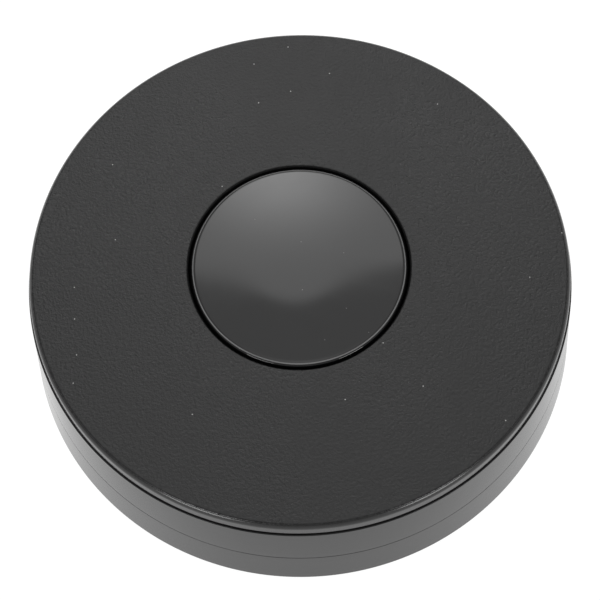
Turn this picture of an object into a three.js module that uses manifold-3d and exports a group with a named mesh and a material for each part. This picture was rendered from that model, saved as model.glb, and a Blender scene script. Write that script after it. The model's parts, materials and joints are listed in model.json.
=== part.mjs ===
// Magnetic stirrer: a low round puck on four rubber feet. A satin top cover carries a vessel, and a gloss
// button in its middle, a hair above the cover, starts the drive. Below the button a flat brushless motor
// turns a bar that carries two magnets, inside a ring-shaped control board.
//
// Millimetres, +Z up. The origin is on the table under the centre, and +Y points to the rear (power inlet).
import * as THREE from "three";
import { mergeVertices } from "three/addons/utils/BufferGeometryUtils.js";
import Module from "manifold-3d";

const wasm = await Module();
wasm.setup();

// ---------------------------------------------------------------- driving dimensions

const COVER_TOP = 30;
const FOOT_PROUD = 1;
const TOP_RADIUS = 57.6;
const BASE_RADIUS = 60;
const COVER_INSET = 0.3;
const RIM_TIGHT = 0.8;
const RIM_SOFT = 2;
const RIM_TURN = 50;
const RIM_END = 85;
const EDGE_BREAK = 0.15;
const PLATE_THICKNESS = 2.4;
const GAP = 0.3;
const SMALL_GAP = 0.15;

const GROOVE_TOP = 26.6;
const GROOVE_BOTTOM = 26.1;
const RING_ROUND = 0.2;
const SEAL_RADIUS = 56.1;
const LOWER_SEAM = 13;
const LOWER_SEAM_GAP = 0.15;

const HOLE_RADIUS = 23.5;
const HOLE_ROUND = 0.55;
const BUTTON_RADIUS = 23.15;
const BUTTON_ROUND = 1.3;
const BUTTON_PROUD = 0.35;
const BUTTON_TOP_THICKNESS = 2.2;
const BUTTON_SKIRT_RADIUS = 21.3;
const FLANGE_RADIUS = 29.1;
const FLANGE_TOP = 27.3;
const FLANGE_BOTTOM = 25.7;
const BUTTON_RING_RADIUS = 26.2;

const LIP_OUTER = 54.6;
const LIP_INNER = 52.8;
const LIP_BOTTOM = 23;
const BODY_INNER_RADIUS = 55.3;

const CASE_SCREW_RADIUS = 48;
const CASE_SCREW_ANGLES = [45, 135, 225, 315];
const FOOT_CIRCLE_RADIUS = 49;
const FOOT_ANGLES = [0, 90, 180, 270];
const FOOT_RADIUS = 6;
const FOOT_WELL_DEPTH = 1.5;

const BOARD_TOP = 19;
const BOARD_THICKNESS = 1.6;
const BOARD_INNER_RADIUS = 22;
const BOARD_OUTER_RADIUS = 43.5;
const BOARD_TAB_HALF_WIDTH = 7.5;
const BOARD_TAB_END = 54;
const BOARD_SCREW_RADIUS = 38;
const BOARD_SCREW_ANGLES = [60, 180, 300];
const BOARD_SCREW_TOP = 24.5;

const SPRING_ANGLES = [90, 210, 330];
const SWITCH_ANGLES = [30, 150, 270];

const MOTOR_PLATE_BOTTOM = 5;
const MOTOR_PLATE_THICKNESS = 1.2;
const MOTOR_PLATE_RADIUS = 22;
const MOTOR_SCREW_RADIUS = 19.5;
const MOTOR_SCREW_ANGLES = [90, 210, 330];
const MOTOR_SCREW_BOTTOM = 2.6;
const MOTOR_POST_RADIUS = 3;
const SHAFT_RADIUS = 1.5;
const BEARING_RADIUS = 3.5;
const STATOR_BOTTOM = 8.6;
const STATOR_HEIGHT = 4;
const TOOTH_HALF_WIDTH = 1.2;
const CAN_RADIUS = 15;
const CAN_TOP = 16.3;
const MAGNET_OFFSET = 13.5;
const MAGNET_RADIUS = 5;

const INLET_HEIGHT = 20.75;

const LARGE_ROUND = 48;
const MEDIUM_ROUND = 24;
const SMALL_ROUND = 12;

// ---------------------------------------------------------------- materials

function plastic(color, roughness) {
  return new THREE.MeshStandardMaterial({ color, roughness, metalness: 0 });
}

function metal(color, roughness) {
  return new THREE.MeshStandardMaterial({ color, roughness, metalness: 1 });
}

const SATIN_BLACK = () => plastic(0x232325, 0.55);
const WALL_BLACK = () => plastic(0x202022, 0.42);
const GLOSS_BLACK = () => plastic(0x0a0a0b, 0.06);
const RUBBER = () => plastic(0x111111, 0.9);
const STEEL = () => metal(0xb4b6b8, 0.35);
const DARK_STEEL = () => metal(0x3a3b3d, 0.4);
const NICKEL = () => metal(0xd0ccc2, 0.2);
const BRASS = () => metal(0xc9a14a, 0.3);
const COPPER = () => metal(0xb4622d, 0.35);
const BOARD_GREEN = () => plastic(0x14532e, 0.45);
const CHIP_BLACK = () => plastic(0x1a1a1c, 0.6);
const SWITCH_GREY = () => plastic(0x55575a, 0.5);
const CONNECTOR_WHITE = () => plastic(0xe6e3da, 0.5);
const CABLE_GREY = () => plastic(0x8a8c90, 0.5);
const CARRIER_BLACK = () => plastic(0x2b2b2e, 0.5);
const PLATE_SILVER = () => metal(0x9a9c9f, 0.45);

// ---------------------------------------------------------------- solids

function radians(degrees) {
  return (degrees * Math.PI) / 180;
}

function onCircle(radius, degrees) {
  return [radius * Math.cos(radians(degrees)), radius * Math.sin(radians(degrees))];
}

/** Radius of the tapered outer wall at a height. */
function wallRadius(z) {
  const slope = (BASE_RADIUS - TOP_RADIUS) / (COVER_TOP - FOOT_PROUD);
  return BASE_RADIUS - slope * (z - FOOT_PROUD);
}

/** Six times the signed volume of a closed triangle mesh. */
function signedVolume(positions, triangles) {
  const a = new THREE.Vector3();
  const b = new THREE.Vector3();
  const c = new THREE.Vector3();
  let sum = 0;
  for (let i = 0; i < triangles.length; i += 3) {
    a.fromArray(positions, triangles[i] * 3);
    b.fromArray(positions, triangles[i + 1] * 3);
    c.fromArray(positions, triangles[i + 2] * 3);
    sum += a.dot(b.cross(c));
  }
  return sum;
}

/** Makes a closed geometry into a solid that can be joined and cut, with its faces pointing out. */
function solid(geometry) {
  const bare = geometry.clone();
  bare.deleteAttribute("normal");
  bare.deleteAttribute("uv");
  const merged = mergeVertices(bare, 1e-4);
  const positions = merged.attributes.position.array;
  const corners = merged.index.array;
  const triangles = [];
  for (let i = 0; i < corners.length; i += 3) {
    const [a, b, c] = [corners[i], corners[i + 1], corners[i + 2]];
    if (a !== b && b !== c && c !== a) {
      triangles.push(a, b, c);
    }
  }
  if (signedVolume(positions, triangles) < 0) {
    triangles.reverse();
  }
  const triVerts = new Uint32Array(triangles);
  return new wasm.Manifold(new wasm.Mesh({ numProp: 3, vertProperties: positions, triVerts }));
}

/** Brings a solid back as a geometry. */
function geometryOf(body) {
  const mesh = body.getMesh();
  const geometry = new THREE.BufferGeometry();
  geometry.setAttribute("position", new THREE.BufferAttribute(mesh.vertProperties, 3));
  geometry.setIndex(new THREE.BufferAttribute(mesh.triVerts, 1));
  geometry.computeVertexNormals();
  return geometry;
}

/** Turns a closed outline of [radius, height] points about the vertical axis. */
function turned(outline, segments) {
  const points = [...outline, outline[0]].map(([r, z]) => new THREE.Vector2(r, z));
  const geometry = new THREE.LatheGeometry(points, segments);
  geometry.rotateX(Math.PI / 2);
  return solid(geometry);
}

/** Points of a round corner, both ends included. */
function corner(centreR, centreZ, radius, fromDegrees, toDegrees, steps) {
  const points = [];
  for (let i = 0; i <= steps; i += 1) {
    const angle = radians(fromDegrees + ((toDegrees - fromDegrees) * i) / steps);
    points.push([centreR + radius * Math.cos(angle), centreZ + radius * Math.sin(angle)]);
  }
  return points;
}

/** An upright cylinder from one height to another. */
function rod(x, y, radius, bottom, top, segments = SMALL_ROUND) {
  const geometry = new THREE.CylinderGeometry(radius, radius, top - bottom, segments);
  geometry.rotateX(Math.PI / 2);
  geometry.translate(x, y, (bottom + top) / 2);
  return solid(geometry);
}

/** A box given by its lowest corner and its size. */
function block(x, y, z, width, depth, height) {
  const geometry = new THREE.BoxGeometry(width, depth, height);
  geometry.translate(x + width / 2, y + depth / 2, z + height / 2);
  return solid(geometry);
}

/** An outline drawn in plan and raised from one height to another. */
function raised(shape, bottom, top, curveSegments = 8) {
  const depth = top - bottom;
  const geometry = new THREE.ExtrudeGeometry(shape, { depth, bevelEnabled: false, curveSegments });
  geometry.translate(0, 0, bottom);
  return solid(geometry);
}

/** A rectangle with round corners, centred on a point. */
function roundedRectangle(width, height, radius) {
  const [w, h] = [width / 2, height / 2];
  const shape = new THREE.Shape();
  shape.moveTo(-w + radius, -h);
  shape.lineTo(w - radius, -h);
  shape.absarc(w - radius, -h + radius, radius, -Math.PI / 2, 0);
  shape.lineTo(w, h - radius);
  shape.absarc(w - radius, h - radius, radius, 0, Math.PI / 2);
  shape.lineTo(-w + radius, h);
  shape.absarc(-w + radius, h - radius, radius, Math.PI / 2, Math.PI);
  shape.lineTo(-w, -h + radius);
  shape.absarc(-w + radius, -h + radius, radius, Math.PI, 1.5 * Math.PI);
  return shape;
}

/** A rounded bar lying along Y, for slots in the rear wall. */
function rearBar(width, height, radius, fromY, toY, z) {
  const shape = roundedRectangle(width, height, radius);
  const depth = toY - fromY;
  const geometry = new THREE.ExtrudeGeometry(shape, { depth, bevelEnabled: false, curveSegments: 4 });
  geometry.rotateX(Math.PI / 2);
  geometry.translate(0, toY, z);
  return solid(geometry);
}

/** The cross of a driver recess: two flat bars from a height upwards. */
function crossRecess(x, y, bottom, height, arm, width) {
  const across = block(x - arm, y - width / 2, bottom, 2 * arm, width, height);
  const along = block(x - width / 2, y - arm, bottom, width, 2 * arm, height);
  return across.add(along);
}

function cutAll(body, tools) {
  return tools.reduce((rest, tool) => rest.subtract(tool), body);
}

function joinAll(body, pieces) {
  return pieces.reduce((whole, piece) => whole.add(piece), body);
}

function place(group, name, body, material) {
  const mesh = new THREE.Mesh(geometryOf(body), material);
  mesh.name = name;
  group.add(mesh);
}

// ---------------------------------------------------------------- housing

const FLOOR_TOP = FOOT_PROUD + PLATE_THICKNESS;
const COVER_UNDERSIDE = COVER_TOP - PLATE_THICKNESS;

/** Cover's rim: a tight round at the top edge that runs into a softer one down the side. */
function rimOutline() {
  const [turnSin, turnCos] = [Math.sin(radians(RIM_TURN)), Math.cos(radians(RIM_TURN))];
  const [endSin, endCos] = [Math.sin(radians(RIM_END)), Math.cos(radians(RIM_END))];
  const sideTop = COVER_TOP - RIM_TIGHT * (1 - turnCos) - RIM_SOFT * (turnCos - endCos);
  const side = wallRadius(sideTop) - COVER_INSET;
  const [softR, softZ] = [side - RIM_SOFT * endSin, sideTop - RIM_SOFT * endCos];
  const tightR = softR + (RIM_SOFT - RIM_TIGHT) * turnSin;
  return [
    ...corner(tightR, COVER_TOP - RIM_TIGHT, RIM_TIGHT, 90, 90 - RIM_TURN, 3),
    ...corner(softR, softZ, RIM_SOFT, 90 - RIM_TURN, 90 - RIM_END, 2).slice(1),
  ];
}

/** Cover outline: hole edge, flat top, rounded rim, skirt, locating lip and the button's guide wall. */
function coverOutline() {
  const skirtInner = 55.6;
  const guideOuter = 31.2;
  const guideInner = 29.5;
  const guideBottom = 23.2;
  return [
    [HOLE_RADIUS, COVER_UNDERSIDE],
    ...corner(HOLE_RADIUS + HOLE_ROUND, COVER_TOP - HOLE_ROUND, HOLE_ROUND, 180, 90, 3),
    ...rimOutline(),
    [wallRadius(GROOVE_TOP + EDGE_BREAK) - COVER_INSET, GROOVE_TOP + EDGE_BREAK],
    [wallRadius(GROOVE_TOP) - COVER_INSET - EDGE_BREAK, GROOVE_TOP],
    [skirtInner, GROOVE_TOP],
    [skirtInner, COVER_UNDERSIDE],
    [LIP_OUTER, COVER_UNDERSIDE],
    [LIP_OUTER, LIP_BOTTOM],
    [LIP_INNER, LIP_BOTTOM],
    [LIP_INNER, COVER_UNDERSIDE],
    [guideOuter, COVER_UNDERSIDE],
    [guideOuter, guideBottom],
    [guideInner, guideBottom],
    [guideInner, COVER_UNDERSIDE],
  ];
}

const CASE_BOSS_BOTTOM = 9.6;
const CASE_SCREW_TOP = 20;
const CASE_SCREW_SHANK = 1.25;
const CASE_BOSS_RADIUS = 3.4;
const CASE_POST_RADIUS = 4.2;
const COUNTERBORE_RADIUS = 3.2;
const CASE_HOLE_RADIUS = 1.6;
const BOARD_BOSS_RADIUS = 2.6;
const SMALL_PILOT_RADIUS = 1.05;
const SMALL_HOLE_RADIUS = 1.2;
const SMALL_HEAD_RADIUS = 1.9;
const SMALL_SHANK_RADIUS = 0.9;

function topCover() {
  const overlap = 0.5;
  const bosses = [];
  const holes = [];
  for (const angle of CASE_SCREW_ANGLES) {
    const [x, y] = onCircle(CASE_SCREW_RADIUS, angle);
    bosses.push(rod(x, y, CASE_BOSS_RADIUS, CASE_BOSS_BOTTOM, COVER_UNDERSIDE + overlap));
    holes.push(rod(x, y, CASE_SCREW_SHANK + SMALL_GAP, CASE_BOSS_BOTTOM - 1, CASE_SCREW_TOP + 1));
  }
  for (const angle of BOARD_SCREW_ANGLES) {
    const [x, y] = onCircle(BOARD_SCREW_RADIUS, angle);
    bosses.push(rod(x, y, BOARD_BOSS_RADIUS, BOARD_TOP + GAP, COVER_UNDERSIDE + overlap));
    holes.push(rod(x, y, SMALL_PILOT_RADIUS, BOARD_TOP - 1, BOARD_SCREW_TOP + 0.5));
  }
  return cutAll(joinAll(turned(coverOutline(), LARGE_ROUND), bosses), holes);
}

/** Rubber ring at the bottom of the groove between cover and body. */
function topSeal() {
  const inner = BODY_INNER_RADIUS + 0.1;
  const [bottom, top] = [GROOVE_BOTTOM + 0.1, GROOVE_TOP - 0.1];
  return turned([[inner, bottom], [SEAL_RADIUS, bottom], [SEAL_RADIUS, top], [inner, top]], LARGE_ROUND);
}

/** Tapered side wall between the groove and the lower seam, with the recessed power inlet at the rear. */
function bodyRing() {
  const bottom = LOWER_SEAM + LOWER_SEAM_GAP;
  const ringEdge = GROOVE_BOTTOM - RING_ROUND;
  const outline = [
    [BODY_INNER_RADIUS, bottom],
    [wallRadius(bottom) - EDGE_BREAK, bottom],
    [wallRadius(bottom + EDGE_BREAK), bottom + EDGE_BREAK],
    ...corner(wallRadius(ringEdge) - RING_ROUND, ringEdge, RING_ROUND, 0, 90, 2),
    [BODY_INNER_RADIUS, GROOVE_BOTTOM],
  ];
  const outside = BASE_RADIUS + 1;
  const slot = rearBar(9.6, 3.9, 1.9, BODY_INNER_RADIUS - 2, outside, INLET_HEIGHT);
  const recess = rearBar(13, 7, 2.4, wallRadius(INLET_HEIGHT) - 1, outside, INLET_HEIGHT);
  return cutAll(turned(outline, LARGE_ROUND), [slot, recess]);
}

const COUNTERBORE_TOP = 6;
const RATING_PLATE = { width: 34, depth: 18, y: -28, thickness: 0.4, recess: 0.7 };

/** Base outline: floor, outer wall with a rounded lower edge, and the lip that enters the body ring. */
function baseOutline() {
  const edge = 0.4;
  const lipTop = 15.5;
  const [lipInner, lipOuter] = [53.4, 55];
  const wallInner = 56;
  return [
    [0, FOOT_PROUD],
    ...corner(BASE_RADIUS - edge, FOOT_PROUD + edge, edge, -90, 0, 3),
    [wallRadius(LOWER_SEAM - EDGE_BREAK), LOWER_SEAM - EDGE_BREAK],
    [wallRadius(LOWER_SEAM) - EDGE_BREAK, LOWER_SEAM],
    [lipOuter, LOWER_SEAM],
    [lipOuter, lipTop],
    [lipInner, lipTop],
    [lipInner, LOWER_SEAM - 1.5],
    [wallInner, LOWER_SEAM - 4],
    [wallInner, FLOOR_TOP],
    [0, FLOOR_TOP],
  ];
}

function baseShell() {
  const overlap = 0.5;
  const posts = [];
  const holes = [];
  for (const angle of CASE_SCREW_ANGLES) {
    const [x, y] = onCircle(CASE_SCREW_RADIUS, angle);
    posts.push(rod(x, y, CASE_POST_RADIUS, FLOOR_TOP - overlap, CASE_BOSS_BOTTOM - GAP));
    holes.push(rod(x, y, COUNTERBORE_RADIUS, 0, COUNTERBORE_TOP));
    holes.push(rod(x, y, CASE_HOLE_RADIUS, 0, CASE_BOSS_BOTTOM));
  }
  for (const angle of MOTOR_SCREW_ANGLES) {
    const [x, y] = onCircle(MOTOR_SCREW_RADIUS, angle);
    posts.push(rod(x, y, MOTOR_POST_RADIUS, FLOOR_TOP - overlap, MOTOR_PLATE_BOTTOM - GAP));
    holes.push(rod(x, y, SMALL_PILOT_RADIUS, MOTOR_SCREW_BOTTOM - 0.4, MOTOR_PLATE_BOTTOM));
  }
  for (const angle of FOOT_ANGLES) {
    const [x, y] = onCircle(FOOT_CIRCLE_RADIUS, angle);
    holes.push(rod(x, y, FOOT_RADIUS + GAP, 0, FOOT_PROUD + FOOT_WELL_DEPTH, MEDIUM_ROUND));
  }
  const plate = roundedRectangle(RATING_PLATE.width + 2 * GAP, RATING_PLATE.depth + 2 * GAP, 2);
  holes.push(raised(plate, 0, FOOT_PROUD + RATING_PLATE.recess, 3).translate(0, RATING_PLATE.y, 0));
  return cutAll(joinAll(turned(baseOutline(), LARGE_ROUND), posts), holes);
}

/** Blank plate in a recess of the underside. */
function ratingPlate() {
  const bottom = FOOT_PROUD + 0.05;
  const shape = roundedRectangle(RATING_PLATE.width, RATING_PLATE.depth, 2);
  return raised(shape, bottom, bottom + RATING_PLATE.thickness, 3).translate(0, RATING_PLATE.y, 0);
}

function foot(angle) {
  const [x, y] = onCircle(FOOT_CIRCLE_RADIUS, angle);
  const top = FOOT_PROUD + FOOT_WELL_DEPTH - GAP;
  const edge = 0.5;
  const dimple = 3.2;
  const outline = [
    [0, 0.25],
    [dimple - 0.4, 0.25],
    [dimple, 0],
    ...corner(FOOT_RADIUS - edge, edge, edge, -90, 0, 2),
    [FOOT_RADIUS, top],
    [0, top],
  ];
  return turned(outline, MEDIUM_ROUND).translate(x, y, 0);
}

/** Pan-head screw with its head down, driven from the underside. */
function caseScrew(angle) {
  const [x, y] = onCircle(CASE_SCREW_RADIUS, angle);
  const headTop = COUNTERBORE_TOP - 0.1;
  const headBottom = headTop - 2.2;
  const outline = [
    [0, headBottom],
    [1.9, headBottom],
    [2.7, headBottom + 0.8],
    [2.7, headTop],
    [CASE_SCREW_SHANK, headTop],
    [CASE_SCREW_SHANK, CASE_SCREW_TOP - 1],
    [0.6, CASE_SCREW_TOP],
    [0, CASE_SCREW_TOP],
  ];
  const screw = turned(outline, SMALL_ROUND).translate(x, y, 0);
  return screw.subtract(crossRecess(x, y, headBottom - 1, 2.2, 1.4, 0.6));
}

// ---------------------------------------------------------------- button

/** Gloss cap with a skirt, a flange that keeps it under the cover, and three pegs for the springs. */
function buttonCap() {
  const top = COVER_TOP + BUTTON_PROUD;
  const underside = top - BUTTON_TOP_THICKNESS;
  const root = 0.5;
  const pegRadius = 1.4;
  const outline = [
    [0, underside],
    [BUTTON_SKIRT_RADIUS, underside],
    [BUTTON_SKIRT_RADIUS, FLANGE_BOTTOM],
    [FLANGE_RADIUS, FLANGE_BOTTOM],
    [FLANGE_RADIUS, FLANGE_TOP],
    ...corner(BUTTON_RADIUS + root, FLANGE_TOP + root, root, 270, 180, 2),
    ...corner(BUTTON_RADIUS - BUTTON_ROUND, top - BUTTON_ROUND, BUTTON_ROUND, 0, 90, 5),
    [0, top],
  ];
  const pegs = SPRING_ANGLES.map((angle) => {
    const [x, y] = onCircle(BUTTON_RING_RADIUS, angle);
    return rod(x, y, pegRadius, FLANGE_BOTTOM - 1.3, FLANGE_BOTTOM + 0.4);
  });
  return joinAll(turned(outline, LARGE_ROUND), pegs);
}

/** Return spring between the board and the button's flange. */
function buttonSpring(angle) {
  const [x, y] = onCircle(BUTTON_RING_RADIUS, angle);
  const wire = 0.25;
  const coilRadius = 2.1;
  const turns = 4.5;
  const bottom = BOARD_TOP + GAP + wire;
  const top = FLANGE_BOTTOM - GAP - wire;
  class Coil extends THREE.Curve {
    getPoint(t, target = new THREE.Vector3()) {
      const turn = 2 * Math.PI * turns * t;
      const height = bottom + (top - bottom) * t;
      return target.set(x + coilRadius * Math.cos(turn), y + coilRadius * Math.sin(turn), height);
    }
  }
  const section = new THREE.Shape().absarc(0, 0, wire, 0, 2 * Math.PI);
  const options = { steps: 40, extrudePath: new Coil(), curveSegments: 3, bevelEnabled: false };
  return solid(new THREE.ExtrudeGeometry(section, options));
}

const SWITCH = { size: 6, height: 3.5, wellRadius: 2, wellBottom: 20.4, stemRadius: 1.7, stemBottom: 22 };

function switchBody(angle) {
  const [x, y] = onCircle(BUTTON_RING_RADIUS, angle);
  const bottom = BOARD_TOP + 0.1;
  const half = SWITCH.size / 2;
  const housing = block(x - half, y - half, bottom, SWITCH.size, SWITCH.size, SWITCH.height);
  return housing.subtract(rod(x, y, SWITCH.wellRadius, SWITCH.wellBottom, bottom + SWITCH.height + 1));
}

function switchPlunger(angle) {
  const [x, y] = onCircle(BUTTON_RING_RADIUS, angle);
  return rod(x, y, SWITCH.stemRadius, SWITCH.stemBottom, FLANGE_BOTTOM - GAP);
}

// ---------------------------------------------------------------- electronics

/** Ring-shaped board with a tab at the rear that carries the inlet. */
function controlBoard() {
  const tabAngle = Math.acos(BOARD_TAB_HALF_WIDTH / BOARD_OUTER_RADIUS);
  const shape = new THREE.Shape();
  shape.absarc(0, 0, BOARD_OUTER_RADIUS, Math.PI - tabAngle, 2 * Math.PI + tabAngle);
  shape.lineTo(BOARD_TAB_HALF_WIDTH, BOARD_TAB_END);
  shape.lineTo(-BOARD_TAB_HALF_WIDTH, BOARD_TAB_END);
  shape.closePath();
  shape.holes.push(new THREE.Path().absarc(0, 0, BOARD_INNER_RADIUS, 0, 2 * Math.PI));
  const board = raised(shape, BOARD_TOP - BOARD_THICKNESS, BOARD_TOP, 28);
  const holes = BOARD_SCREW_ANGLES.map((angle) => {
    const [x, y] = onCircle(BOARD_SCREW_RADIUS, angle);
    return rod(x, y, SMALL_HOLE_RADIUS, BOARD_TOP - BOARD_THICKNESS - 1, BOARD_TOP + 1);
  });
  return cutAll(board, holes);
}

function boardScrew(angle) {
  const [x, y] = onCircle(BOARD_SCREW_RADIUS, angle);
  const headTop = BOARD_TOP - BOARD_THICKNESS - 0.1;
  const head = rod(x, y, SMALL_HEAD_RADIUS, headTop - 1.3, headTop);
  const shank = rod(x, y, SMALL_SHANK_RADIUS, headTop - 0.2, BOARD_SCREW_TOP);
  return head.add(shank).subtract(crossRecess(x, y, headTop - 2, 1.4, 1, 0.5));
}

/** Socket for a flat oval power plug, with its contact tongue, opening to the rear. */
function powerInlet() {
  const [front, rear] = [49.6, 56.9];
  const shell = rearBar(8.9, 3.26, 1.6, front, rear, INLET_HEIGHT);
  const cavity = rearBar(8.3, 2.66, 1.3, front + 1, rear + 1, INLET_HEIGHT);
  const tongue = block(-3.35, front + 0.8, INLET_HEIGHT - 0.35, 6.7, 5, 0.7);
  return shell.subtract(cavity).add(tongue);
}

function chip(x, y, width, depth, height) {
  return block(x - width / 2, y - depth / 2, BOARD_TOP + 0.1, width, depth, height);
}

function capacitor() {
  const [x, y] = onCircle(36, 120);
  const bottom = BOARD_TOP + 0.1;
  const outline = [
    [0, bottom],
    [3.15, bottom],
    [3.15, bottom + 0.8],
    [2.85, bottom + 1.1],
    [3.15, bottom + 1.4],
    [3.15, bottom + 6.2],
    [2.7, bottom + 6.6],
    [0, bottom + 6.6],
  ];
  return turned(outline, SMALL_ROUND).translate(x, y, 0);
}

const CONNECTOR = { front: 27, depth: 6, width: 8, height: 3 };

/** Connector under the board that takes the motor's flat cable. */
function motorConnector() {
  const top = BOARD_TOP - BOARD_THICKNESS - 0.1;
  const { front, depth, width, height } = CONNECTOR;
  return block(front, -width / 2, top - height, depth, width, height);
}

/** Flat cable from under the stator, out over the motor plate and up to the connector. */
function motorCable() {
  const halfThickness = 0.15;
  const halfWidth = 2.5;
  const section = new THREE.Shape();
  section.moveTo(-halfWidth, -halfThickness);
  section.lineTo(halfWidth, -halfThickness);
  section.lineTo(halfWidth, halfThickness);
  section.lineTo(-halfWidth, halfThickness);
  section.closePath();
  const path = new THREE.CatmullRomCurve3([
    new THREE.Vector3(8.5, 0, 6.75),
    new THREE.Vector3(18, 0, 6.75),
    new THREE.Vector3(22.6, 0, 8.6),
    new THREE.Vector3(23.8, 0, 12.2),
    new THREE.Vector3(24.6, 0, 15),
    new THREE.Vector3(CONNECTOR.front - GAP, 0, 15.8),
  ]);
  const options = { steps: 16, extrudePath: path, bevelEnabled: false };
  return solid(new THREE.ExtrudeGeometry(section, options));
}

// ---------------------------------------------------------------- drive

const PLATE_TOP = MOTOR_PLATE_BOTTOM + MOTOR_PLATE_THICKNESS;
const SPIGOT_RADIUS = 4.4;

function motorPlate() {
  const disc = rod(0, 0, MOTOR_PLATE_RADIUS, MOTOR_PLATE_BOTTOM, PLATE_TOP, MEDIUM_ROUND);
  const holes = MOTOR_SCREW_ANGLES.map((angle) => {
    const [x, y] = onCircle(MOTOR_SCREW_RADIUS, angle);
    return rod(x, y, SMALL_HOLE_RADIUS, MOTOR_PLATE_BOTTOM - 1, PLATE_TOP + 1);
  });
  holes.push(rod(0, 0, SPIGOT_RADIUS + GAP, MOTOR_PLATE_BOTTOM - 1, PLATE_TOP + 1, MEDIUM_ROUND));
  return cutAll(disc, holes);
}

function motorScrew(angle) {
  const [x, y] = onCircle(MOTOR_SCREW_RADIUS, angle);
  const headBottom = PLATE_TOP + 0.1;
  const head = rod(x, y, SMALL_HEAD_RADIUS, headBottom, headBottom + 1.2);
  const shank = rod(x, y, SMALL_SHANK_RADIUS, MOTOR_SCREW_BOTTOM, headBottom + 0.2);
  return head.add(shank).subtract(crossRecess(x, y, headBottom + 0.6, 1, 1, 0.5));
}

const LOWER_BEARING_BOTTOM = 5.6;
const UPPER_BEARING_BOTTOM = 12.2;
const BEARING_HEIGHT = 2.5;

/** Flanged tube that holds the two bearings and carries the stator. */
function bearingTube() {
  const bore = BEARING_RADIUS + SMALL_GAP;
  const shoulder = 2.6;
  const flangeBottom = PLATE_TOP + 0.1;
  const flangeTop = flangeBottom + 0.9;
  return turned([
    [bore, MOTOR_PLATE_BOTTOM + 0.1],
    [SPIGOT_RADIUS, MOTOR_PLATE_BOTTOM + 0.1],
    [SPIGOT_RADIUS, flangeBottom],
    [6.5, flangeBottom],
    [6.5, flangeTop],
    [4.8, flangeTop],
    [4.8, UPPER_BEARING_BOTTOM + BEARING_HEIGHT + 0.1],
    [bore, UPPER_BEARING_BOTTOM + BEARING_HEIGHT + 0.1],
    [bore, UPPER_BEARING_BOTTOM - SMALL_GAP],
    [shoulder, UPPER_BEARING_BOTTOM - SMALL_GAP],
    [shoulder, LOWER_BEARING_BOTTOM + BEARING_HEIGHT + SMALL_GAP],
    [bore, LOWER_BEARING_BOTTOM + BEARING_HEIGHT + SMALL_GAP],
  ], MEDIUM_ROUND);
}

function bearing(bottom) {
  const bore = SHAFT_RADIUS + SMALL_GAP;
  const top = bottom + BEARING_HEIGHT;
  const outline = [[bore, bottom], [BEARING_RADIUS, bottom], [BEARING_RADIUS, top], [bore, top]];
  return turned(outline, MEDIUM_ROUND);
}

const TOOTH_COUNT = 6;

/** Star-shaped core: a hub and six teeth that widen at their tips. */
function statorCore() {
  const [boreRadius, hubRadius, neckRadius, tipRadius] = [5.1, 6.6, 10.2, 11.3];
  const pitch = (2 * Math.PI) / TOOTH_COUNT;
  const tipHalfAngle = radians(21);
  const shape = new THREE.Shape();
  for (let i = 0; i < TOOTH_COUNT; i += 1) {
    const middle = i * pitch;
    const hubHalfAngle = Math.asin(TOOTH_HALF_WIDTH / hubRadius);
    const neckHalfAngle = Math.asin(TOOTH_HALF_WIDTH / neckRadius);
    const spots = [
      [hubRadius, -hubHalfAngle],
      [neckRadius, -neckHalfAngle],
      [neckRadius + 0.3, -tipHalfAngle],
      [tipRadius, -tipHalfAngle],
      [tipRadius, 0],
      [tipRadius, tipHalfAngle],
      [neckRadius + 0.3, tipHalfAngle],
      [neckRadius, neckHalfAngle],
      [hubRadius, hubHalfAngle],
    ];
    for (const [radius, offset] of spots) {
      const x = radius * Math.cos(middle + offset);
      const y = radius * Math.sin(middle + offset);
      if (i === 0 && offset === -hubHalfAngle) {
        shape.moveTo(x, y);
      } else {
        shape.lineTo(x, y);
      }
    }
  }
  shape.closePath();
  shape.holes.push(new THREE.Path().absarc(0, 0, boreRadius, 0, 2 * Math.PI));
  return raised(shape, STATOR_BOTTOM, STATOR_BOTTOM + STATOR_HEIGHT, 12);
}

/** One winding: a rounded ring of wire around a tooth, modelled as one solid. */
function coil(index) {
  const clear = 0.25;
  const build = 1;
  const [inner, outer] = [6.9, 9.5];
  const [holeWidth, holeHeight] = [2 * (TOOTH_HALF_WIDTH + clear), STATOR_HEIGHT + 2 * clear];
  const ring = roundedRectangle(holeWidth + 2 * build, holeHeight + 2 * build, build);
  ring.holes.push(roundedRectangle(holeWidth, holeHeight, 0.2));
  const options = { depth: outer - inner, bevelEnabled: false, curveSegments: 2 };
  const geometry = new THREE.ExtrudeGeometry(ring, options);
  geometry.rotateX(Math.PI / 2);
  geometry.rotateZ(Math.PI / 2);
  geometry.translate(inner, 0, STATOR_BOTTOM + STATOR_HEIGHT / 2);
  geometry.rotateZ((index * 2 * Math.PI) / TOOTH_COUNT);
  return solid(geometry);
}

/** Steel cup that turns around the stator. */
function rotorCan() {
  const bore = SHAFT_RADIUS + SMALL_GAP;
  const wall = 0.9;
  const [bottom, underside] = [7.6, CAN_TOP - 1];
  return turned([
    [bore, underside],
    [CAN_RADIUS - wall, underside],
    [CAN_RADIUS - wall, bottom],
    [CAN_RADIUS, bottom],
    [CAN_RADIUS, CAN_TOP - 0.6],
    [CAN_RADIUS - 0.6, CAN_TOP],
    [bore, CAN_TOP],
  ], MEDIUM_ROUND);
}

function ringMagnet() {
  const [inner, outer, bottom, top] = [11.85, 13.9, 8, 15];
  return turned([[inner, bottom], [outer, bottom], [outer, top], [inner, top]], MEDIUM_ROUND);
}

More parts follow.
